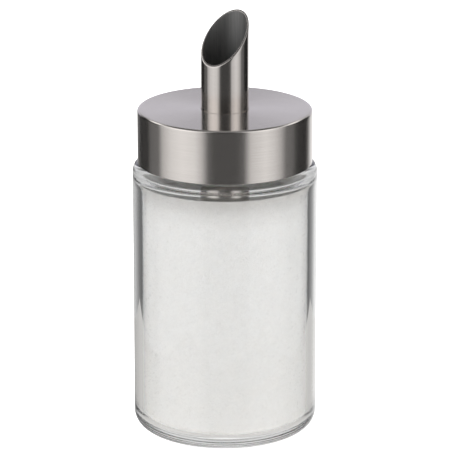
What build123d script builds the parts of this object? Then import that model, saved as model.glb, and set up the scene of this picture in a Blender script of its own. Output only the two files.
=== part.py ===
from build123d import *
import math
import os

# Sugar pourer: glass jar, steel screw lid, and a steel dosing tube through the lid.
# Millimetres. Z is the axis of the jar, and z = 0 is the surface that it stands on.
# The tube's mouth is cut on a slant that faces the front, -Y, so its tip is at the back.

# Jar
BODY_DIAMETER = 70.0
WALL = 3.4
SHOULDER_WALL = 2.2
SHOULDER_Z = 104.4
SHOULDER_RADIUS = 3.0
BASE_RADIUS = 5.5
FLOOR_Z = 3.5
FLOOR_RADIUS = 4.4
PUNT_DEPTH = 1.0
PUNT_DIAMETER = 50.0
INNER_SHOULDER_RADIUS = 5.0
INNER_LIP_RADIUS = 0.8

# Screw neck and thread, one start
NECK_ROOT_DIAMETER = 57.2
NECK_BORE_DIAMETER = 51.2
NECK_TOP_Z = 121.2
NECK_RIM_RADIUS = 1.2
PITCH = 4.0
THREAD_HEIGHT = 1.4
THREAD_BASE_WIDTH = 2.0
THREAD_CREST_WIDTH = 0.9
THREAD_BEDDING = 0.3
NECK_THREAD_Z = 109.0
NECK_THREAD_TURNS = 1.5
INSERT_THREAD_START_TURN = 0.25
INSERT_THREAD_TURNS = 1.0
THREAD_AXIAL_OFFSET = 1.5

# Steel lid
LID_DIAMETER = 66.2
LID_HEIGHT = 20.5
LID_GAP = 0.4
SHEET = 0.6
LID_EDGE_RADIUS = 0.9
LID_HOLE_CLEARANCE = 0.08

# Thread insert inside the lid
INSERT_CLEARANCE = 0.1
INSERT_ROOT_DIAMETER = 61.0
INSERT_LIP_RECESS = 0.6
INSERT_PLATE = 1.7
BOSS_DIAMETER = 25.0
BOSS_BOTTOM_Z = 114.0
BOSS_CLEARANCE = 0.1
SNAP_BEAD_HEIGHT = 0.9
SNAP_BEAD_WIDTH = 0.6

# Rim gasket
GASKET_THICKNESS = 1.5
GASKET_INNER_DIAMETER = 52.4
GASKET_OUTER_DIAMETER = 60.6
GASKET_GAP = 0.05

# Dosing tube
TUBE_DIAMETER = 18.0
TUBE_WALL = 0.7
MOUTH_CENTRE_RISE = 27.2
MOUTH_ANGLE = 46.5
TUBE_LOWEST_Z = 14.0
INLET_ANGLE = 45.0
TUBE_BEAD_HEIGHT = 2.0
TUBE_BEAD_DEPTH = 1.1
SEAL_DIAMETER = 2.0
POCKET_CLEARANCE = 0.1

# Spring ring that holds the tube
CLAMP_THICKNESS = 0.6
CLAMP_DIAMETER = 24.0
CLAMP_TEETH = 8
CLAMP_SLOT_WIDTH = 1.2
CLAMP_SLOT_DEPTH = 2.5

# Sugar
SUGAR_CLEARANCE = 0.3
SUGAR_WALL_Z = 98.5
SUGAR_CENTRE_Z = 91.0
SUGAR_IN_TUBE_Z = 90.0
TUBE_SLOT_BOTTOM_Z = 13.0

# Worked out from the sizes above
body_r = BODY_DIAMETER / 2
inner_r = body_r - WALL
neck_r = NECK_ROOT_DIAMETER / 2
neck_bore_r = NECK_BORE_DIAMETER / 2
lid_bottom_z = SHOULDER_Z + LID_GAP
lid_top_z = lid_bottom_z + LID_HEIGHT
lid_r = LID_DIAMETER / 2
tube_r = TUBE_DIAMETER / 2
tube_bore_r = tube_r - TUBE_WALL
insert_top_z = lid_top_z - SHEET - INSERT_CLEARANCE
insert_r = lid_r - SHEET - INSERT_CLEARANCE
insert_root_r = INSERT_ROOT_DIAMETER / 2
plate_bottom_z = insert_top_z - INSERT_PLATE
seal_z = insert_top_z - SEAL_DIAMETER / 2
bead_top_z = insert_top_z - SEAL_DIAMETER - POCKET_CLEARANCE
pocket_bottom_z = bead_top_z - TUBE_BEAD_HEIGHT
pocket_r = tube_r + SEAL_DIAMETER + POCKET_CLEARANCE
gasket_bottom_z = NECK_TOP_Z + GASKET_GAP


def ring(outer_r, inner_r, bottom_z, top_z):
    """A plain ring about the Z axis."""
    height = top_z - bottom_z
    tube = Cylinder(outer_r, height) - Cylinder(inner_r, 2 * height)
    return Pos(0, 0, (bottom_z + top_z) / 2) * tube


def revolved(profile):
    """A closed profile, drawn in the XZ plane, turned about the Z axis."""
    return revolve(profile, Axis.Z)


def outline(points):
    """A face in the XZ plane from (radius, height) corners."""
    return make_face(Plane.XZ * Polyline(*points, close=True))


def near(shape, radius, z):
    """The corner of an XZ profile that lies at this radius and height."""
    return min(shape.vertices(), key=lambda v: math.hypot(v.X - radius, v.Z - z))


def rounded(profile, corners):
    """A profile with its (radius, height, fillet) corners rounded."""
    for radius, z, size in corners:
        profile = fillet(near(profile, radius, z), size)
    return profile


def thread_ridge(root_r, outward, start_z, turns, phase_deg):
    """One start of thread: a trapezoid swept along a helix from a cylinder's wall.

    outward is 1 for a thread on a neck and -1 for one inside a cap.
    """
    crest_r = root_r + outward * THREAD_HEIGHT
    bed_r = root_r - outward * THREAD_BEDDING
    section = outline(
        [
            (bed_r, -THREAD_BASE_WIDTH / 2),
            (root_r, -THREAD_BASE_WIDTH / 2),
            (crest_r, -THREAD_CREST_WIDTH / 2),
            (crest_r, THREAD_CREST_WIDTH / 2),
            (root_r, THREAD_BASE_WIDTH / 2),
            (bed_r, THREAD_BASE_WIDTH / 2),
        ]
    )
    path = Helix(pitch=PITCH, height=PITCH * turns, radius=root_r)
    ridge = sweep(section, path=path, is_frenet=True)
    return Pos(0, 0, start_z) * Rot(0, 0, phase_deg) * ridge


def make_glass_jar():
    """Thick-walled jar with a punt, a rounded base and shoulder, and a threaded neck."""
    inner_shoulder_z = SHOULDER_Z - SHOULDER_WALL
    profile = outline(
        [
            (0, PUNT_DEPTH),
            (PUNT_DIAMETER / 2 - 2 * PUNT_DEPTH, PUNT_DEPTH),
            (PUNT_DIAMETER / 2, 0),
            (body_r, 0),
            (body_r, SHOULDER_Z),
            (neck_r, SHOULDER_Z),
            (neck_r, NECK_TOP_Z),
            (neck_bore_r, NECK_TOP_Z),
            (neck_bore_r, inner_shoulder_z),
            (inner_r, inner_shoulder_z),
            (inner_r, FLOOR_Z),
            (0, FLOOR_Z),
        ]
    )
    profile = rounded(
        profile,
        [
            (body_r, 0, BASE_RADIUS),
            (body_r, SHOULDER_Z, SHOULDER_RADIUS),
            (neck_r, SHOULDER_Z, NECK_RIM_RADIUS),
            (neck_r, NECK_TOP_Z, NECK_RIM_RADIUS),
            (neck_bore_r, NECK_TOP_Z, NECK_RIM_RADIUS),
            (neck_bore_r, inner_shoulder_z, INNER_LIP_RADIUS),
            (inner_r, inner_shoulder_z, INNER_SHOULDER_RADIUS),
            (inner_r, FLOOR_Z, FLOOR_RADIUS),
        ],
    )
    thread = thread_ridge(neck_r, 1, NECK_THREAD_Z, NECK_THREAD_TURNS, 0)
    return revolved(profile) + thread


def make_lid_shell():
    """Deep-drawn steel cup, open below, with the tube's hole in its top."""
    hole_r = tube_r + LID_HOLE_CLEARANCE
    profile = outline(
        [
            (hole_r, lid_top_z),
            (lid_r, lid_top_z),
            (lid_r, lid_bottom_z),
            (lid_r - SHEET, lid_bottom_z),
            (lid_r - SHEET, lid_top_z - SHEET),
            (hole_r, lid_top_z - SHEET),
        ]
    )
    inner_edge_radius = LID_EDGE_RADIUS - SHEET
    profile = rounded(
        profile,
        [
            (lid_r, lid_top_z, LID_EDGE_RADIUS),
            (lid_r - SHEET, lid_top_z - SHEET, inner_edge_radius),
        ],
    )
    return revolved(profile)


def make_thread_insert():
    """Moulded cup with an inner thread, a snap bead for the gasket and a boss for the tube."""
    skirt_bottom_z = lid_bottom_z + INSERT_LIP_RECESS
    boss_r = BOSS_DIAMETER / 2
    bore_r = tube_r + BOSS_CLEARANCE
    bead_top = gasket_bottom_z - GASKET_GAP
    bead_bottom = bead_top - SNAP_BEAD_WIDTH
    bead_r = insert_root_r - SNAP_BEAD_HEIGHT
    profile = outline(
        [
            (pocket_r, insert_top_z),
            (insert_r - LID_EDGE_RADIUS, insert_top_z),
            (insert_r, insert_top_z - LID_EDGE_RADIUS),
            (insert_r, skirt_bottom_z),
            (insert_root_r, skirt_bottom_z),
            (insert_root_r, bead_bottom - SNAP_BEAD_HEIGHT),
            (bead_r, bead_bottom),
            (bead_r, bead_top),
            (insert_root_r, bead_top),
            (insert_root_r, plate_bottom_z),
            (boss_r, plate_bottom_z),
            (boss_r, BOSS_BOTTOM_Z),
            (bore_r, BOSS_BOTTOM_Z),
            (bore_r, pocket_bottom_z),
            (pocket_r, pocket_bottom_z),
        ]
    )
    start_z = NECK_THREAD_Z + INSERT_THREAD_START_TURN * PITCH - THREAD_AXIAL_OFFSET
    phase = 360 * INSERT_THREAD_START_TURN
    thread = thread_ridge(insert_root_r, -1, start_z, INSERT_THREAD_TURNS, phase)
    return revolved(profile) + thread


def make_rim_gasket():
    """Flat soft ring between the glass rim and the insert."""
    top_z = gasket_bottom_z + GASKET_THICKNESS
    return ring(GASKET_OUTER_DIAMETER / 2, GASKET_INNER_DIAMETER / 2, gasket_bottom_z, top_z)


def make_tube_seal():
    """O-ring around the tube, in the pocket on top of the insert."""
    centre = Plane.XZ * Pos(tube_r + SEAL_DIAMETER / 2, seal_z)
    return revolved(centre * Circle(SEAL_DIAMETER / 2))


def cut_above(shape, height, angle_deg):
    """Cut off what is above a plane that crosses the axis at this height and rises to the back."""
    size = 4 * TUBE_DIAMETER
    half_space = Pos(0, 0, height) * Rot(angle_deg, 0, 0) * Pos(0, 0, size / 2) * Box(size, size, size)
    return shape - half_space


def make_dosing_tube():
    """Thin steel tube with a rolled bead, a slanted mouth and a slanted inlet."""
    mouth_z = lid_top_z + MOUTH_CENTRE_RISE
    tip_z = mouth_z + tube_r * math.tan(math.radians(MOUTH_ANGLE))
    tube = ring(tube_r, tube_bore_r, TUBE_LOWEST_Z, tip_z)
    tube = cut_above(tube, mouth_z, MOUTH_ANGLE)
    bead = outline(
        [
            (tube_r - TUBE_WALL / 2, pocket_bottom_z),
            (tube_r, pocket_bottom_z),
            (tube_r + TUBE_BEAD_DEPTH, pocket_bottom_z + TUBE_BEAD_HEIGHT / 4),
            (tube_r + TUBE_BEAD_DEPTH, bead_top_z - TUBE_BEAD_HEIGHT / 4),
            (tube_r, bead_top_z),
            (tube_r - TUBE_WALL / 2, bead_top_z),
        ]
    )
    inlet_z = TUBE_LOWEST_Z + tube_r * math.tan(math.radians(INLET_ANGLE))
    flipped = Rot(180, 0, 0) * (tube + revolved(bead))
    return Rot(180, 0, 0) * cut_above(flipped, -inlet_z, INLET_ANGLE)


def make_tube_clamp():
    """Flat spring ring whose inner teeth bite on the tube, under the insert's boss."""
    top_z = BOSS_BOTTOM_Z
    clamp = ring(CLAMP_DIAMETER / 2, tube_r, top_z - CLAMP_THICKNESS, top_z)
    slot = Pos(tube_r, 0, top_z) * Box(2 * CLAMP_SLOT_DEPTH, CLAMP_SLOT_WIDTH, 4 * CLAMP_THICKNESS)
    for index in range(CLAMP_TEETH):
        clamp -= Rot(0, 0, index * 360 / CLAMP_TEETH) * slot
    return clamp


def make_sugar_fill():
    """Sugar in the jar and in the tube, with the tube's ring-shaped slot left free."""
    sugar_r = inner_r - SUGAR_CLEARANCE
    core_r = tube_bore_r - SUGAR_CLEARANCE
    slot_r = tube_r + SUGAR_CLEARANCE
    bottom_z = FLOOR_Z + SUGAR_CLEARANCE
    profile = outline(
        [
            (0, bottom_z),
            (sugar_r, bottom_z),
            (sugar_r, SUGAR_WALL_Z),
            (slot_r, SUGAR_CENTRE_Z),
            (slot_r, TUBE_SLOT_BOTTOM_Z),
            (core_r, TUBE_SLOT_BOTTOM_Z),
            (core_r, SUGAR_IN_TUBE_Z),
            (0, SUGAR_IN_TUBE_Z),
        ]
    )
    profile = rounded(profile, [(sugar_r, bottom_z, FLOOR_RADIUS - SUGAR_CLEARANCE)])
    return revolved(profile)


NODES = {
    "glass_jar": make_glass_jar,
    "sugar_fill": make_sugar_fill,
    "lid_shell": make_lid_shell,
    "thread_insert": make_thread_insert,
    "rim_gasket": make_rim_gasket,
    "dosing_tube": make_dosing_tube,
    "tube_seal": make_tube_seal,
    "tube_clamp": make_tube_clamp,
}

os.makedirs("parts", exist_ok=True)
for name, make in NODES.items():
    export_step(make(), f"parts/{name}.step")
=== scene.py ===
import math

import bpy
from mathutils import Matrix, Vector, noise


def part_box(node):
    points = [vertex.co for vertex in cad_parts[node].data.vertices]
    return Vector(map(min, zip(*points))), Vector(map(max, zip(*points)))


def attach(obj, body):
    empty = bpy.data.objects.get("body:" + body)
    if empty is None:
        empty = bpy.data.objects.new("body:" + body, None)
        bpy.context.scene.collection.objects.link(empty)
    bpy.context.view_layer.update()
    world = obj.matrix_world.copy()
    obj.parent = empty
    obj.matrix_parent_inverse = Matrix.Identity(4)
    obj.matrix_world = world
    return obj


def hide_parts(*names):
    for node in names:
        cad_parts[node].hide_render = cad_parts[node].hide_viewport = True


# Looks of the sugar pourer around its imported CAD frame. Metres, Z up, the jar's axis is Z.

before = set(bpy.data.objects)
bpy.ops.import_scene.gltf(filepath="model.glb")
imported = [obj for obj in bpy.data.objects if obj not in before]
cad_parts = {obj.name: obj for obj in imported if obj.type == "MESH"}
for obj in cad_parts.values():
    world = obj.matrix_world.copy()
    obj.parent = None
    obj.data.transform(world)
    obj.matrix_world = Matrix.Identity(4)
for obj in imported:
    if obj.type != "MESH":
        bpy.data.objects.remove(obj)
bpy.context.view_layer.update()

MM = 0.001
TURN = 2 * math.pi
# Lengths that differ by less than this are the same
TINY = 1e-7
# Edges that bend more than this are shaded sharp
SHARP_ANGLE = math.radians(40)

# Sizes that the frame's boxes don't give. First the jar
WALL = 3.4 * MM
FLOOR_Z = 3.5 * MM
FLOOR_RADIUS = 4.4 * MM
BASE_RADIUS = 5.5 * MM
PUNT_RADIUS = 25.0 * MM
PUNT_DEPTH = 1.0 * MM
SHOULDER_RADIUS = 3.0 * MM
SHOULDER_WALL = 2.2 * MM
INNER_SHOULDER_RADIUS = 5.0 * MM
INNER_LIP_RADIUS = 0.8 * MM
LID_GAP = 0.4 * MM
NECK_ROOT_RADIUS = 28.6 * MM
NECK_BORE_RADIUS = 25.6 * MM
NECK_RIM_RADIUS = 1.2 * MM

# The thread on the jar's neck
THREAD_PITCH = 4.0 * MM
THREAD_HEIGHT = 1.4 * MM
THREAD_BASE_WIDTH = 2.0 * MM
THREAD_CREST_WIDTH = 0.9 * MM
THREAD_Z = 109.0 * MM
THREAD_TURNS = 1.5
THREAD_FADE_TURNS = 0.06

# The lid
SHEET = 0.6 * MM
LID_EDGE_RADIUS = 0.9 * MM
LID_LIP_RADIUS = 0.2 * MM
LID_HOLE_CLEARANCE = 0.08 * MM

# The tube, with its slanted ends and its bead. The slant fades out over its reach along the wall
TUBE_RADIUS = 9.0 * MM
TUBE_WALL = 0.7 * MM
TUBE_RIM_RADIUS = 0.3 * MM
TUBE_BORE_EDGE_RADIUS = 0.1 * MM
TUBE_CUT_ANGLE = math.radians(46.5)
TUBE_CUT_SLOPE = math.tan(TUBE_CUT_ANGLE)
TUBE_INLET_SLOPE = 1.0
TUBE_SLANT_REACH = 14.0 * MM
BEAD_LOW_Z = 120.5 * MM
BEAD_HIGH_Z = 122.5 * MM
BEAD_DEPTH = 1.1 * MM
BEAD_RADIUS = 0.5 * MM
BEAD_ROOT_RADIUS = 0.3 * MM

# The sugar, with the small dips in its outside
SUGAR_GAP = 0.3 * MM
SUGAR_CENTRE_Z = 91.0 * MM
SUGAR_IN_TUBE_Z = 90.0 * MM
SUGAR_SLOT_Z = 13.0 * MM
SUGAR_MIDDLE_Z = 50.0 * MM
SUGAR_EDGE_RADIUS = 0.5 * MM
SUGAR_DIP = 0.12 * MM
SUGAR_DIPS_PER_METRE = 400
SUGAR_SMOOTH_RING = 1.0 * MM
# Painted shade: the sugar's top layer is painted darker for the lid's shade over it, and its lowest layer
# darker for the shade of the jar's base
SUGAR_LID_SHADE_Z = 86.0 * MM
SUGAR_LID_SHADE_DEPTH = 12.5 * MM
SUGAR_BASE_SHADE_Z = FLOOR_Z + 0.5 * MM
SUGAR_BASE_SHADE_DEPTH = 3.5 * MM
SUGAR_SHADE_WAVE = 1.5 * MM

# Camera: where it stands round the object in degrees, what it aims at, and its lens
CAMERA_AZIMUTH = 37.0
CAMERA_ELEVATION = 17.24
CAMERA_DISTANCE = 1.2
CAMERA_TARGET_Z = 78.8 * MM
CAMERA_TARGET_SIDE = 0.4 * MM
CAMERA_LENS = 250.8
CAMERA_SENSOR = 36.0
CAMERA_CLIP_END = 20.0

# Strength of the soft light on matt surfaces, where the white background is 1
SOFT_LIGHT = 1.64
# Bounces for light that runs along inside the thick glass, and for light between matt surfaces
GLASS_BOUNCES = 24
INNER_BOUNCES = 12
# Half the floor's width, and its own light, which keeps it white
FLOOR_REACH = 6.0
FLOOR_GLOW = 0.45
# Half the width of the small table that only clear glass shows, and the tone of it and of the room above; on
# the table this tone is painted shade, standing for the table in the jar's own shade
TABLE_REACH = 122.0 * MM
TABLE_TONE = 0.67

# Nearly all values of a noise texture lie between these two
NOISE_LOW = 0.3
NOISE_HIGH = 0.7
# The colour sockets of a mix node
MIX_A = 6
MIX_B = 7
MIX_RESULT = 2
# How far the steel's roughness wanders, and how its highlights stretch across the grain
STEEL_ROUGHNESS_SPREAD = 0.04
STEEL_ANISOTROPY = 0.9
STEEL_GRAIN_ROTATION = 0.25


# ---------------------------------------------------------------- shapes


def rounded(corners, steps=8):
    """Points of an outline from (radius, z, fillet) corners, with arcs at the fillets."""
    points = []
    last = len(corners) - 1
    for i, (r, z, size) in enumerate(corners):
        if not size or i in (0, last):
            points.append((r, z))
            continue
        corner = Vector((r, z))
        to_a = (Vector(corners[i - 1][:2]) - corner).normalized()
        to_b = (Vector(corners[i + 1][:2]) - corner).normalized()
        half = to_a.angle(to_b) / 2
        tangent = size / math.tan(half)
        centre = corner + (to_a + to_b).normalized() * size / math.sin(half)
        start = corner + to_a * tangent - centre
        end = corner + to_b * tangent - centre
        sweep = start.angle_signed(end)
        for step in range(steps + 1):
            turned = start.copy()
            turned.rotate(Matrix.Rotation(-sweep * step / steps, 2))
            points.append(tuple(centre + turned))
    return points


def divided(points, longest):
    """The same outline with no stretch longer than a given length."""
    result = [points[0]]
    for a, b in zip(points, points[1:]):
        count = max(1, math.ceil(math.dist(a, b) / longest))
        for step in range(1, count + 1):
            t = step / count
            result.append((a[0] + (b[0] - a[0]) * t, a[1] + (b[1] - a[1]) * t))
    return result


def new_object(name, verts, faces):
    """An object in the scene from points and faces."""
    mesh = bpy.data.meshes.new(name)
    mesh.from_pydata(verts, [], faces)
    piece = bpy.data.objects.new(name, mesh)
    bpy.context.scene.collection.objects.link(piece)
    return piece


def lathe(name, outline, segments, place=None, closed=False):
    """A piece turned from an outline about Z. place(radius, z, angle) may move each point."""
    verts, rows = [], []
    for r, z in outline:
        if r < TINY:
            rows.append([len(verts)] * segments)
            verts.append((0.0, 0.0, z))
            continue
        rows.append(list(range(len(verts), len(verts) + segments)))
        for k in range(segments):
            angle = TURN * k / segments
            pr, pz = place(r, z, angle) if place else (r, z)
            verts.append((pr * math.cos(angle), pr * math.sin(angle), pz))
    pairs = list(zip(rows, rows[1:]))
    if closed:
        pairs.append((rows[-1], rows[0]))
    faces = []
    for a, b in pairs:
        for k in range(segments):
            n = (k + 1) % segments
            # A face at the axis is a triangle, because its point there counts once
            faces.append(list(dict.fromkeys((a[k], a[n], b[n], b[k]))))
    piece = new_object(name, verts, faces)
    piece.data.polygons.foreach_set("use_smooth", [True] * len(faces))
    piece.data.set_sharp_from_angle(angle=SHARP_ANGLE)
    piece.data.update()
    return piece


def smoothstep(x):
    """From 0 to 1 without a kink at either end."""
    x = min(1.0, max(0.0, x))
    return x * x * (3 - 2 * x)


def direction(azimuth, elevation):
    """The way to a place on the sphere, in degrees, from -Y round to +X and up."""
    a, e = math.radians(azimuth), math.radians(elevation)
    return Vector((math.sin(a) * math.cos(e), -math.cos(a) * math.cos(e), math.sin(e)))


# ---------------------------------------------------------------- materials


def grey(value):
    return (value, value, value)


def blank_material(name):
    material = bpy.data.materials.new(name)
    material.use_nodes = True
    return material


class Nodes:
    """Short ways to build one node tree."""

    def __init__(self, tree):
        self.tree = tree
        self.tree.nodes.clear()

    def add(self, kind, **settings):
        node = self.tree.nodes.new(kind)
        for key, value in settings.items():
            setattr(node, key, value)
        return node

    def link(self, source, target):
        self.tree.links.new(source, target)

    def feed(self, value, target):
        """Give an input a number, a colour or what another node puts out."""
        if isinstance(value, tuple):
            target.default_value = (*value, 1.0)
        elif isinstance(value, (int, float)):
            target.default_value = value
        else:
            self.link(value, target)

    def coordinates(self):
        return self.add("ShaderNodeTexCoord").outputs["Object"]

    def axes(self, vector):
        node = self.add("ShaderNodeSeparateXYZ")
        self.link(vector, node.inputs[0])
        return node.outputs

    def math(self, operation, a, b=0.0):
        node = self.add("ShaderNodeMath", operation=operation)
        self.feed(a, node.inputs[0])
        self.feed(b, node.inputs[1])
        return node.outputs[0]

    def blend(self, a, b, share):
        """A share of one texture and the rest of another."""
        return self.math("ADD", self.math("MULTIPLY", a, share), self.math("MULTIPLY", b, 1 - share))

    def at_least(self, bounces, count):
        """1 for a ray with at least that many bounces of a kind, and 0 for others."""
        return self.math("GREATER_THAN", bounces, count - 0.5)

    def noise(self, vector, scale, detail=3.0, roughness=0.55):
        node = self.add("ShaderNodeTexNoise")
        self.link(vector, node.inputs["Vector"])
        node.inputs["Scale"].default_value = scale
        node.inputs["Detail"].default_value = detail
        node.inputs["Roughness"].default_value = roughness
        return node.outputs["Fac"]

    def voronoi(self, vector, scale):
        node = self.add("ShaderNodeTexVoronoi")
        self.link(vector, node.inputs["Vector"])
        node.inputs["Scale"].default_value = scale
        return node.outputs

    def ramp(self, factor, *stops):
        """Colours from (place, colour) stops."""
        node = self.add("ShaderNodeValToRGB")
        self.link(factor, node.inputs["Fac"])
        elements = node.color_ramp.elements
        while len(elements) < len(stops):
            elements.new(0.5)
        for element, (position, colour) in zip(elements, stops):
            element.position = position
            element.color = (*colour, 1.0)
        return node.outputs["Color"]

    def shades(self, texture, dark, light):
        """A colour that wanders between two with a noise texture."""
        return self.ramp(texture, (NOISE_LOW, dark), (NOISE_HIGH, light))

    def range(self, factor, low, high, start=0.0, end=1.0):
        """From low to high while the factor goes from start to end."""
        node = self.add("ShaderNodeMapRange")
        self.link(factor, node.inputs["Value"])
        for name, value in (("From Min", start), ("From Max", end), ("To Min", low), ("To Max", high)):
            node.inputs[name].default_value = value
        return node.outputs["Result"]

    def fade(self, factor, start, end):
        """From 0 to 1 while the factor goes from start to end."""
        return self.range(factor, 0, 1, start, end)

    def mix(self, factor, a, b, blend_type="MIX"):
        node = self.add("ShaderNodeMix", data_type="RGBA", blend_type=blend_type)
        self.feed(factor, node.inputs["Factor"])
        self.feed(a, node.inputs[MIX_A])
        self.feed(b, node.inputs[MIX_B])
        return node.outputs[MIX_RESULT]


class Surface(Nodes):
    """A material with one Principled shader."""

    def __init__(self, name):
        self.material = blank_material(name)
        super().__init__(self.material.node_tree)
        self.shader = self.add("ShaderNodeBsdfPrincipled")
        self.link(self.shader.outputs[0], self.add("ShaderNodeOutputMaterial").inputs["Surface"])

    def set(self, **values):
        for key, value in values.items():
            self.shader.inputs[key.replace("_", " ")].default_value = value

    def colour(self, socket):
        self.link(socket, self.shader.inputs["Base Color"])

    def roughness(self, socket):
        self.link(socket, self.shader.inputs["Roughness"])

    def bump(self, height, strength, distance):
        node = self.add("ShaderNodeBump")
        self.link(height, node.inputs["Height"])
        node.inputs["Strength"].default_value = strength
        node.inputs["Distance"].default_value = distance
        self.link(node.outputs["Normal"], self.shader.inputs["Normal"])


def lathe_grain(nodes, around, across):
    """Coordinates for turned metal: stretched round the axis, fine along it and along the radius."""
    x, y, z = nodes.axes(nodes.coordinates())
    angle = nodes.math("ARCTAN2", y, x)
    squares = nodes.math("ADD", nodes.math("MULTIPLY", x, x), nodes.math("MULTIPLY", y, y))
    radius = nodes.math("SQRT", squares)
    vector = nodes.add("ShaderNodeCombineXYZ")
    nodes.link(nodes.math("MULTIPLY", angle, around), vector.inputs[0])
    nodes.link(nodes.math("MULTIPLY", z, across), vector.inputs[1])
    nodes.link(nodes.math("MULTIPLY", radius, across), vector.inputs[2])
    return vector.outputs[0]


def satin_steel(name, dark, light, roughness, metallic=1.0):
    """Stainless steel, satin-finished on a lathe, so its grain runs round the axis.

    Just under full metallic, it also scatters a little light, as fine scratches do.
    """
    nodes = Surface(name)
    fine_lines = lathe_grain(nodes, around=1.2, across=3200.0)
    grain = nodes.noise(fine_lines, scale=1.0, detail=4.0, roughness=0.7)
    cloud = nodes.noise(nodes.coordinates(), scale=60.0, detail=2.0)
    nodes.colour(nodes.shades(nodes.blend(grain, cloud, share=0.7), dark, light))
    smoothest = roughness - STEEL_ROUGHNESS_SPREAD
    roughest = roughness + STEEL_ROUGHNESS_SPREAD
    nodes.roughness(nodes.range(grain, smoothest, roughest))
    tangent = nodes.add("ShaderNodeTangent", direction_type="RADIAL", axis="Z")
    nodes.link(tangent.outputs[0], nodes.shader.inputs["Tangent"])
    nodes.set(Metallic=metallic, Anisotropic=STEEL_ANISOTROPY, Anisotropic_Rotation=STEEL_GRAIN_ROTATION)
    nodes.bump(grain, strength=0.05, distance=0.01 * MM)
    return nodes.material


def shaded_bore_steel():
    """Rough steel for the bore of the drawn tube, with its lines along the axis, its colour painted dark for
    the shade inside the bore.
    """
    nodes = Surface("shaded_bore_steel")
    stretch = nodes.add("ShaderNodeMapping")
    stretch.inputs["Scale"].default_value = (2500.0, 2500.0, 60.0)
    nodes.link(nodes.coordinates(), stretch.inputs["Vector"])
    lines = nodes.noise(stretch.outputs[0], scale=1.0)
    # Painted shade: far darker than the tube's outside steel, for the shade down the bore
    nodes.colour(nodes.shades(lines, dark=grey(0.24), light=(0.32, 0.315, 0.31)))
    nodes.roughness(nodes.range(lines, low=0.58, high=0.70))
    nodes.set(Metallic=1.0)
    nodes.bump(lines, strength=0.15, distance=0.01 * MM)
    return nodes.material


def clear_glass():
    """Clear soda-lime glass with the faint waviness of a moulded jar."""
    nodes = Surface("clear_glass")
    wave = nodes.noise(nodes.coordinates(), scale=90.0, detail=1.0)
    haze = nodes.noise(nodes.coordinates(), scale=400.0)
    nodes.colour(nodes.shades(haze, dark=(0.985, 0.99, 0.987), light=(0.995, 0.998, 0.995)))
    nodes.set(Roughness=0.0, IOR=1.5, Transmission_Weight=1.0)
    nodes.bump(wave, strength=0.03, distance=0.4 * MM)
    return nodes.material


def granulated_sugar():
    """White sugar: small crystals, each with its own tone and tilt, that let light in."""
    nodes = Surface("granulated_sugar")
    place = nodes.coordinates()
    grains = nodes.voronoi(place, scale=1700.0)
    lumps = nodes.noise(place, scale=220.0, detail=4.0, roughness=0.6)
    grain_tone = nodes.add("ShaderNodeSeparateColor")
    nodes.link(grains["Color"], grain_tone.inputs[0])
    tone = nodes.blend(grain_tone.outputs[0], lumps, share=0.5)
    crystals = nodes.ramp(tone, (0.25, (0.912, 0.899, 0.886)), (0.75, (0.964, 0.951, 0.938)))

    # Painted shade, with a wavy edge: darker under the lid at the top and over the jar's base at the bottom
    waves = nodes.range(lumps, -SUGAR_SHADE_WAVE, SUGAR_SHADE_WAVE)
    level = nodes.math("ADD", nodes.axes(place)["Z"], waves)
    # Painted shade of the lid: the top layer fades to a darker grey
    lid_shade_amount = nodes.fade(level, SUGAR_LID_SHADE_Z, SUGAR_LID_SHADE_Z + SUGAR_LID_SHADE_DEPTH)
    lid_shade = nodes.ramp(lid_shade_amount, (0.0, grey(1.0)), (0.45, grey(0.90)), (1.0, (0.62, 0.61, 0.60)))
    # Painted shade of the jar's base: the lowest few millimetres are painted down to 0.70 of their tone
    base_shade = nodes.range(level, 0.70, 1.0, SUGAR_BASE_SHADE_Z, SUGAR_BASE_SHADE_Z + SUGAR_BASE_SHADE_DEPTH)
    painted_shade = nodes.mix(base_shade, grey(0.0), lid_shade)
    nodes.colour(nodes.mix(1.0, crystals, painted_shade, blend_type="MULTIPLY"))

    nodes.roughness(nodes.range(grain_tone.outputs[1], low=0.25, high=0.8))
    nodes.set(IOR=1.5, Subsurface_Weight=0.4, Subsurface_Scale=1.5 * MM)
    nodes.set(Subsurface_Radius=(1.0, 0.95, 0.9))
    height = nodes.math("SUBTRACT", nodes.math("MULTIPLY", lumps, 0.4), grains["Distance"])
    nodes.bump(height, strength=0.3, distance=0.2 * MM)
    return nodes.material


def moulded_plastic():
    """White polypropylene with a faint mould texture."""
    nodes = Surface("moulded_plastic")
    texture = nodes.noise(nodes.coordinates(), scale=900.0)
    nodes.colour(nodes.shades(texture, dark=(0.90, 0.90, 0.885), light=(0.94, 0.94, 0.925)))
    nodes.roughness(nodes.range(texture, low=0.35, high=0.5))
    nodes.set(IOR=1.49, Subsurface_Weight=0.15, Subsurface_Scale=1.0 * MM)
    nodes.bump(texture, strength=0.1, distance=0.1 * MM)
    return nodes.material


def silicone():
    """Milky silicone for the gasket and the O-ring."""
    nodes = Surface("silicone")
    texture = nodes.noise(nodes.coordinates(), scale=1500.0, detail=2.0)
    nodes.colour(nodes.shades(texture, dark=(0.86, 0.86, 0.84), light=(0.91, 0.91, 0.89)))
    nodes.roughness(nodes.range(texture, low=0.5, high=0.7))
    nodes.set(IOR=1.41, Subsurface_Weight=0.2, Subsurface_Scale=1.0 * MM)
    nodes.bump(texture, strength=0.1, distance=0.05 * MM)
    return nodes.material


def pale_floor():
    """Plain pale studio surface."""
    nodes = Surface("pale_floor")
    texture = nodes.noise(nodes.coordinates(), scale=25.0, detail=4.0)
    nodes.colour(nodes.shades(texture, dark=grey(0.93), light=grey(0.95)))
    nodes.set(Roughness=0.9, Specular_IOR_Level=0.1)
    nodes.set(Emission_Color=(1.0, 1.0, 1.0, 1.0), Emission_Strength=FLOOR_GLOW)
    return nodes.material


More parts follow.
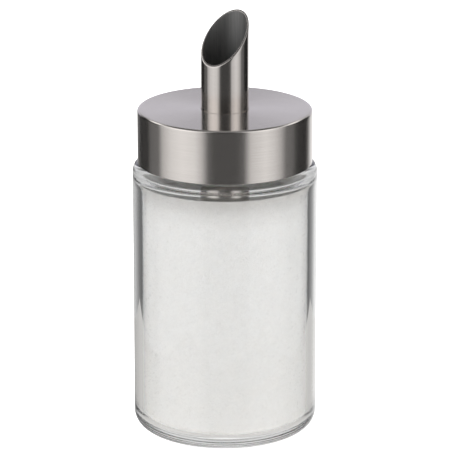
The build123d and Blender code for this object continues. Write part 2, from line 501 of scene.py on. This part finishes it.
def glowing_table():
    """Warm white that gives matt surfaces the same soft light as the rest of the studio. Clear glass sees it
    glow only at the table's tone, a painted shade for the table beneath the jar.
    """
    material = blank_material("table")
    nodes = Nodes(material.node_tree)
    texture = nodes.noise(nodes.coordinates(), scale=12.0)
    bounces = nodes.add("ShaderNodeLightPath").outputs["Diffuse Depth"]
    scattered = nodes.at_least(bounces, 1)
    glow = nodes.add("ShaderNodeEmission")
    nodes.link(nodes.shades(texture, dark=(0.99, 0.97, 0.94), light=(1.0, 0.985, 0.96)), glow.inputs["Color"])
    # Painted shade: to rays through glass the table glows only at its shaded tone
    nodes.link(nodes.range(scattered, TABLE_TONE, SOFT_LIGHT), glow.inputs["Strength"])
    nodes.link(glow.outputs[0], nodes.add("ShaderNodeOutputMaterial").inputs["Surface"])
    return material


# ---------------------------------------------------------------- pieces


def dress(piece, material, body, slot, *nodes):
    """Give a piece its material and its body, and hide the CAD nodes it stands for. The slot is not used."""
    piece.data.materials.clear()
    piece.data.materials.append(material)
    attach(piece, body)
    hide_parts(*nodes)


def thread_height(z, angle):
    """How far the neck's thread stands out of the neck at a height and an angle."""
    flank = (THREAD_BASE_WIDTH - THREAD_CREST_WIDTH) / 2
    height = 0.0
    for lap in range(math.ceil(THREAD_TURNS)):
        along = angle / TURN + lap
        if along > THREAD_TURNS:
            continue
        offset = abs(z - THREAD_Z - THREAD_PITCH * along)
        rise = smoothstep((THREAD_BASE_WIDTH / 2 - offset) / flank)
        fade = smoothstep(min(along, THREAD_TURNS - along) / THREAD_FADE_TURNS)
        height = max(height, THREAD_HEIGHT * rise * fade)
    return height


def make_jar():
    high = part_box("glass_jar")[1]
    shoulder_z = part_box("lid_shell")[0].z - LID_GAP
    body_r, top_z = high.x, high.z
    inner_r = body_r - WALL
    inner_shoulder_z = shoulder_z - SHOULDER_WALL
    corners = [
        (0, PUNT_DEPTH, 0),
        (PUNT_RADIUS - 2 * PUNT_DEPTH, PUNT_DEPTH, PUNT_DEPTH),
        (PUNT_RADIUS, 0, PUNT_DEPTH),
        (body_r, 0, BASE_RADIUS),
        (body_r, shoulder_z, SHOULDER_RADIUS),
        (NECK_ROOT_RADIUS, shoulder_z, NECK_RIM_RADIUS),
        (NECK_ROOT_RADIUS, top_z, NECK_RIM_RADIUS),
        (NECK_BORE_RADIUS, top_z, NECK_RIM_RADIUS),
        (NECK_BORE_RADIUS, inner_shoulder_z, INNER_LIP_RADIUS),
        (inner_r, inner_shoulder_z, INNER_SHOULDER_RADIUS),
        (inner_r, FLOOR_Z, FLOOR_RADIUS),
        (0, FLOOR_Z, 0),
    ]
    outline = divided(rounded(corners, steps=12), longest=1.5 * MM)
    # The neck's straight outside gets finer steps, for its thread
    neck = [point for point in outline if abs(point[0] - NECK_ROOT_RADIUS) < TINY]
    neck_low, neck_high = neck[0][1], neck[-1][1]
    start = outline.index(neck[0])
    outline[start:start + len(neck)] = divided([neck[0], neck[-1]], longest=0.2 * MM)

    def place(r, z, angle):
        on_neck = abs(r - NECK_ROOT_RADIUS) < TINY and neck_low < z < neck_high
        return (r + thread_height(z, angle), z) if on_neck else (r, z)

    jar = lathe("jar", outline, segments=256, place=place)
    dress(jar, clear_glass(), "jar", "clear_glass", "glass_jar")


def make_sugar():
    low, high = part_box("sugar_fill")
    sugar_r, bottom_z, wall_z = high.x, low.z, high.z
    core_r = TUBE_RADIUS - TUBE_WALL - SUGAR_GAP
    slot_r = TUBE_RADIUS + SUGAR_GAP
    corners = [
        (0, bottom_z, 0),
        (sugar_r, bottom_z, FLOOR_RADIUS - SUGAR_GAP),
        (sugar_r, wall_z, SUGAR_EDGE_RADIUS),
        (slot_r, SUGAR_CENTRE_Z, 0),
        (slot_r, SUGAR_SLOT_Z, 0),
        (core_r, SUGAR_SLOT_Z, 0),
        (core_r, SUGAR_IN_TUBE_Z, 0),
        (0, SUGAR_IN_TUBE_Z, 0),
    ]
    outline = divided(rounded(corners, steps=10), longest=1.0 * MM)

    def place(r, z, angle):
        """Dip inward all over the outside, but not near the tube."""
        if r <= slot_r + SUGAR_SMOOTH_RING:
            return r, z
        spot = Vector((r * math.cos(angle), r * math.sin(angle), z))
        dip = SUGAR_DIP * (1 + noise.noise(spot * SUGAR_DIPS_PER_METRE))
        return r - dip, z - dip if z > SUGAR_MIDDLE_Z else z + dip

    sugar = lathe("sugar", outline, segments=288, place=place)
    dress(sugar, granulated_sugar(), "jar", "sugar", "sugar_fill")


def make_lid():
    low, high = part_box("lid_shell")
    r, bottom_z, top_z = high.x, low.z, high.z
    hole_r = TUBE_RADIUS + LID_HOLE_CLEARANCE
    corners = [
        (hole_r, top_z - SHEET / 2, 0),
        (hole_r, top_z, LID_LIP_RADIUS),
        (r, top_z, LID_EDGE_RADIUS),
        (r, bottom_z, LID_LIP_RADIUS),
        (r - SHEET, bottom_z, LID_LIP_RADIUS),
        (r - SHEET, top_z - SHEET, LID_EDGE_RADIUS - SHEET),
        (hole_r, top_z - SHEET, 0),
    ]
    outline = divided(rounded(corners), longest=1.0 * MM)
    lid = lathe("lid", outline, segments=256, closed=True)
    steel = satin_steel(
        "lid_steel", dark=(0.66, 0.62, 0.59), light=(0.74, 0.70, 0.67), roughness=0.18, metallic=0.985)
    dress(lid, steel, "lid", "lid_steel", "lid_shell")


def make_tube():
    low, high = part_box("dosing_tube")
    mouth_z = high.z - TUBE_RADIUS * TUBE_CUT_SLOPE
    inlet_z = low.z + TUBE_RADIUS * TUBE_INLET_SLOPE
    bore_r = TUBE_RADIUS - TUBE_WALL
    bead_r = TUBE_RADIUS + BEAD_DEPTH
    corners = [
        (bore_r, (mouth_z + inlet_z) / 2, 0),
        (bore_r, inlet_z, TUBE_BORE_EDGE_RADIUS),
        (TUBE_RADIUS, inlet_z, TUBE_RIM_RADIUS),
        (TUBE_RADIUS, BEAD_LOW_Z, BEAD_ROOT_RADIUS),
        (bead_r, BEAD_LOW_Z + BEAD_RADIUS, BEAD_RADIUS),
        (bead_r, BEAD_HIGH_Z - BEAD_RADIUS, BEAD_RADIUS),
        (TUBE_RADIUS, BEAD_HIGH_Z, BEAD_ROOT_RADIUS),
        (TUBE_RADIUS, mouth_z, TUBE_RIM_RADIUS),
        (bore_r, mouth_z, TUBE_BORE_EDGE_RADIUS),
        (bore_r, (mouth_z + inlet_z) / 2, 0),
    ]
    # The last point is the first again, and the closed lathe joins it by itself
    outline = divided(rounded(corners, steps=5), longest=1.5 * MM)[:-1]

    def place(r, z, angle):
        """Slant the mouth and the inlet."""
        mouth = max(1 - abs(z - mouth_z) / TUBE_SLANT_REACH, 0) * TUBE_CUT_SLOPE
        inlet = max(1 - abs(z - inlet_z) / TUBE_SLANT_REACH, 0) * TUBE_INLET_SLOPE
        return r, z + (mouth + inlet) * r * math.sin(angle)

    tube = lathe("tube", outline, segments=192, place=place, closed=True)
    steel = satin_steel(
        "tube_steel", dark=(0.60, 0.565, 0.54), light=(0.66, 0.625, 0.60), roughness=0.14)
    dress(tube, steel, "lid", "tube_steel", "dosing_tube")
    tube.data.materials.append(shaded_bore_steel())
    bore_limit = bore_r + TUBE_BORE_EDGE_RADIUS / 2
    for face in tube.data.polygons:
        if Vector(face.center[:2]).length < bore_limit:
            face.material_index = 1


def finish_cad_nodes():
    """The hidden pieces keep their CAD shape and get real materials."""
    plastic = moulded_plastic()
    rubber = silicone()
    spring_steel = satin_steel(
        "spring_steel", dark=(0.42, 0.42, 0.43), light=(0.55, 0.55, 0.56), roughness=0.35)
    looks = {
        "thread_insert": plastic,
        "rim_gasket": rubber,
        "tube_seal": rubber,
        "tube_clamp": spring_steel,
    }
    for node, material in looks.items():
        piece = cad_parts[node]
        piece.data.materials.clear()
        piece.data.materials.append(material)


# ---------------------------------------------------------------- studio


def flat_square(name, reach, azimuth, material):
    """A square on the ground that faces an azimuth, its sides this far from its middle."""
    corners = [direction(azimuth + 45 + 90 * k, 0) * reach * math.sqrt(2) for k in range(4)]
    square = new_object(name, corners, [range(4)])
    square.data.materials.append(material)
    return square


def make_floor():
    floor = flat_square("floor", FLOOR_REACH, 0, pale_floor())
    floor.visible_glossy = False
    floor.visible_transmission = False


def make_table():
    """A square table, turned to the camera, that is seen through clear glass and nowhere else."""
    table = flat_square("table", TABLE_REACH, CAMERA_AZIMUTH, glowing_table())
    table.visible_camera = False
    table.visible_diffuse = False
    table.visible_glossy = False
    table.visible_shadow = False


def panorama(nodes, around, *stops):
    """Greys right round the object, from stops in degrees from the camera, its right side positive."""
    return nodes.ramp(around, *((0.5 + degrees / 360, grey(value)) for degrees, value in stops))


def mirrored_studio(nodes, around, side, behind, height):
    """What metal mirrors: two soft boxes with dark gaps beside them, and a grey wall behind.

    The height is the sine of a direction's elevation, so it is 1 straight overhead.
    """
    boxes = panorama(
        nodes, around,
        (-180, 1.0), (-170, 0.50), (-160, 0.16), (-145, 0.03), (-122, 0.03), (-114, 0.15), (-97, 0.17),
        (-90, 0.58), (-75, 0.86), (-58, 0.97), (-40, 0.88), (-31, 0.62), (-22, 0.13), (-14, 0.075),
        (15, 0.075), (25, 0.13), (34, 0.70), (55, 0.92), (68, 0.78), (79, 0.52), (87, 0.19),
        (100, 0.15), (109, 0.04), (132, 0.01), (140, 0.12), (147, 0.55), (156, 0.95), (180, 1.0))
    # Higher up the boxes are brighter and the gaps darker
    upper_boxes = nodes.math("MULTIPLY", nodes.math("POWER", boxes, 1.5), 1.5)
    boxes = nodes.mix(nodes.fade(height, -0.05, 0.15), boxes, upper_boxes)
    wall = nodes.ramp(height, (0.22, (0.74, 0.73, 0.825)), (0.32, (0.53, 0.53, 0.55)), (0.50, grey(0.14)))
    above_ground = nodes.fade(height, -0.04, 0.10)
    well_behind = nodes.fade(behind, 0.74, 0.88)
    room = nodes.mix(nodes.math("MULTIPLY", above_ground, well_behind), boxes, wall)
    sides = nodes.ramp(nodes.math("ABSOLUTE", side), (0.15, grey(0.10)), (0.40, grey(1.5)))
    ceiling = nodes.ramp(height, (0.92, grey(0.12)), (0.99, grey(0.40)))
    overhead = nodes.mix(nodes.fade(height, 0.66, 0.74), sides, ceiling)
    return nodes.mix(nodes.fade(height, 0.50, 0.56), room, overhead)


def bent_studio(nodes, around, height):
    """What clear glass bends into view: white with a darker side to each hand, and the table's tone above."""
    edges = panorama(
        nodes, around,
        (-180, 1.0), (-173, 0.86), (-164, 0.58), (-155, 0.36), (-147, 0.20), (-138, 0.14), (-128, 0.6),
        (-115, 1.0), (115, 1.0), (128, 0.5), (138, 0.13), (144, 0.22), (152, 0.35), (160, 0.56),
        (172, 0.82), (180, 1.0))
    return nodes.mix(nodes.fade(height, 0.02, 0.10), edges, grey(TABLE_TONE))


def light_studio():
    """White for the eye and for soft light, with its own studio for metal and for glass."""
    world = bpy.data.worlds.new("studio")
    bpy.context.scene.world = world
    world.use_nodes = True
    world.cycles.sampling_method = "NONE"
    nodes = Nodes(world.node_tree)
    turned = nodes.add("ShaderNodeMapping")
    turned.inputs["Rotation"].default_value = (0, 0, -math.radians(CAMERA_AZIMUTH))
    nodes.link(nodes.add("ShaderNodeTexCoord").outputs["Generated"], turned.inputs["Vector"])
    side, behind, height = nodes.axes(turned.outputs[0])
    # Both ends of the panoramas are straight behind the object, and 0.5 is at the camera
    angle = nodes.math("ARCTAN2", side, nodes.math("MULTIPLY", behind, -1.0))
    around = nodes.math("ADD", nodes.math("DIVIDE", angle, TURN), 0.5)

    path = nodes.add("ShaderNodeLightPath").outputs
    scattered = nodes.at_least(path["Diffuse Depth"], 1)
    in_glass = nodes.at_least(path["Transmission Depth"], 1)
    # Metal inside the jar mirrors the metal's studio, though it is seen through glass
    through_jar = nodes.at_least(path["Transmission Depth"], 3)
    off_metal = nodes.at_least(path["Glossy Depth"], 1)
    bent = nodes.math("SUBTRACT", in_glass, nodes.math("MULTIPLY", through_jar, off_metal))
    mirrored = mirrored_studio(nodes, around, side, behind, height)
    colour = nodes.mix(path["Is Glossy Ray"], grey(1.0), mirrored)
    colour = nodes.mix(bent, colour, bent_studio(nodes, around, height))
    colour = nodes.mix(scattered, colour, grey(1.0))
    background = nodes.add("ShaderNodeBackground")
    nodes.link(colour, background.inputs["Color"])
    nodes.link(nodes.range(scattered, 1.0, SOFT_LIGHT), background.inputs["Strength"])
    nodes.link(background.outputs[0], nodes.add("ShaderNodeOutputWorld").inputs["Surface"])


def let_light_through():
    """Enough bounces for the thick glass and the white sugar."""
    cycles = bpy.context.scene.cycles
    cycles.max_bounces = GLASS_BOUNCES
    cycles.diffuse_bounces = INNER_BOUNCES
    cycles.glossy_bounces = GLASS_BOUNCES
    cycles.transmission_bounces = GLASS_BOUNCES


def make_camera():
    data = bpy.data.cameras.new("camera")
    data.lens = CAMERA_LENS
    data.sensor_width = CAMERA_SENSOR
    data.clip_end = CAMERA_CLIP_END
    camera = bpy.data.objects.new("camera", data)
    bpy.context.scene.collection.objects.link(camera)
    back = direction(CAMERA_AZIMUTH, CAMERA_ELEVATION)
    side = direction(CAMERA_AZIMUTH + 90, 0)
    target = Vector((0, 0, CAMERA_TARGET_Z)) + side * CAMERA_TARGET_SIDE
    camera.location = target + back * CAMERA_DISTANCE
    camera.rotation_euler = (-back).to_track_quat("-Z", "Y").to_euler()
    bpy.context.scene.camera = camera


make_camera()
make_floor()
make_table()
light_studio()
let_light_through()
make_jar()
make_sugar()
make_lid()
make_tube()
finish_cad_nodes()

bpy.context.scene.view_settings.view_transform = "Standard"
